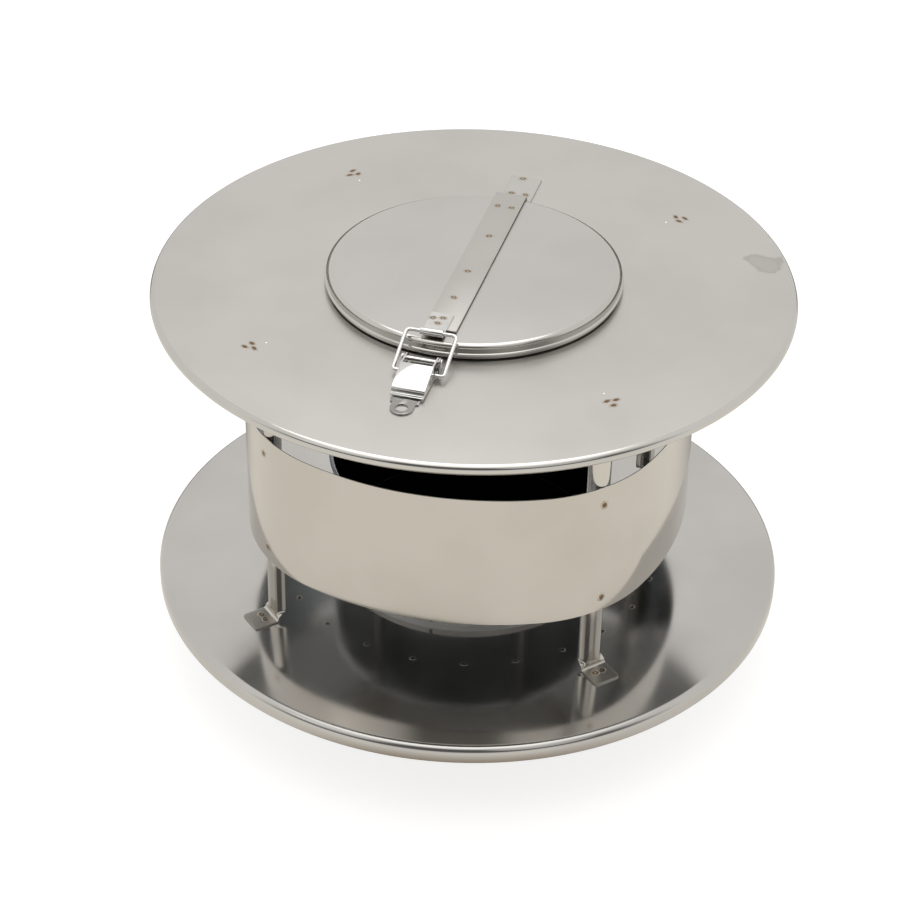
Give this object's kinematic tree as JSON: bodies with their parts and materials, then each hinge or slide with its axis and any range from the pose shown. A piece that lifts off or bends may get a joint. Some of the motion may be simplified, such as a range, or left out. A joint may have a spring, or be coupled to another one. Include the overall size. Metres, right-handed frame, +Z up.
{
  "type": "chimney cap",
  "caption": "Flat round flue cap on four legs with a lobed wind band round the pipe and a hinged cleaning hatch held by a toggle latch.",
  "frame": {"origin": "centre of the spigot's lower end, on the cap's axis", "axes": "+Z up along the flue, -Y towards the toggle latch, +Y towards the hatch hinge; the legs stand 2.3 degrees round from the diagonals"},
  "size_m": [0.4079, 0.408, 0.2826],
  "materials": {
    "satin_sheet": "satin cold-rolled stainless sheet",
    "polished_sheet": "bright-annealed stainless sheet, near mirror",
    "pipe_sheet": "bright stainless tube with a welded seam",
    "leg_sheet": "bright rolled stainless strip",
    "strap_sheet": "satin stainless strip with spot welds",
    "latch_bright": "bright pressed steel and wire"
  },
  "bodies": {
    "cap": {"base_plate": "satin_sheet", "flue_spigot": "pipe_sheet", "flue_riser": "pipe_sheet", "wind_band": "polished_sheet", "leg_1": "leg_sheet", "leg_2": "leg_sheet", "leg_3": "leg_sheet", "leg_4": "leg_sheet", "top_plate": "satin_sheet", "hatch_neck": "satin_sheet", "hinge_leaf": "strap_sheet", "hinge_pin": "latch_bright", "latch_base": "latch_bright", "lever_pin": "latch_bright"},
    "lid": {"hatch_lid": "satin_sheet", "lid_strap": "strap_sheet", "catch_keeper": "strap_sheet"},
    "bail": {"latch_bail": "latch_bright"},
    "lever": {"latch_lever": "latch_bright"}
  },
  "joints": [
    {"name": "lid_hinge", "type": "hinge", "parent": "cap", "child": "lid", "pos_m": [0, 0.09555, 0.26935], "axis": [-1, 0, 0], "range_deg": [0, 110]},
    {"name": "lever_pivot", "type": "hinge", "parent": "cap", "child": "lever", "pos_m": [-0.0025, -0.107, 0.2735], "axis": [-1, 0, 0], "range_deg": [0, 100]},
    {"name": "bail_pivot", "type": "hinge", "parent": "lid", "child": "bail", "pos_m": [-0.0025, -0.0865, 0.28032], "axis": [-1, 0, 0], "range_deg": [0, 100]}
  ]
}
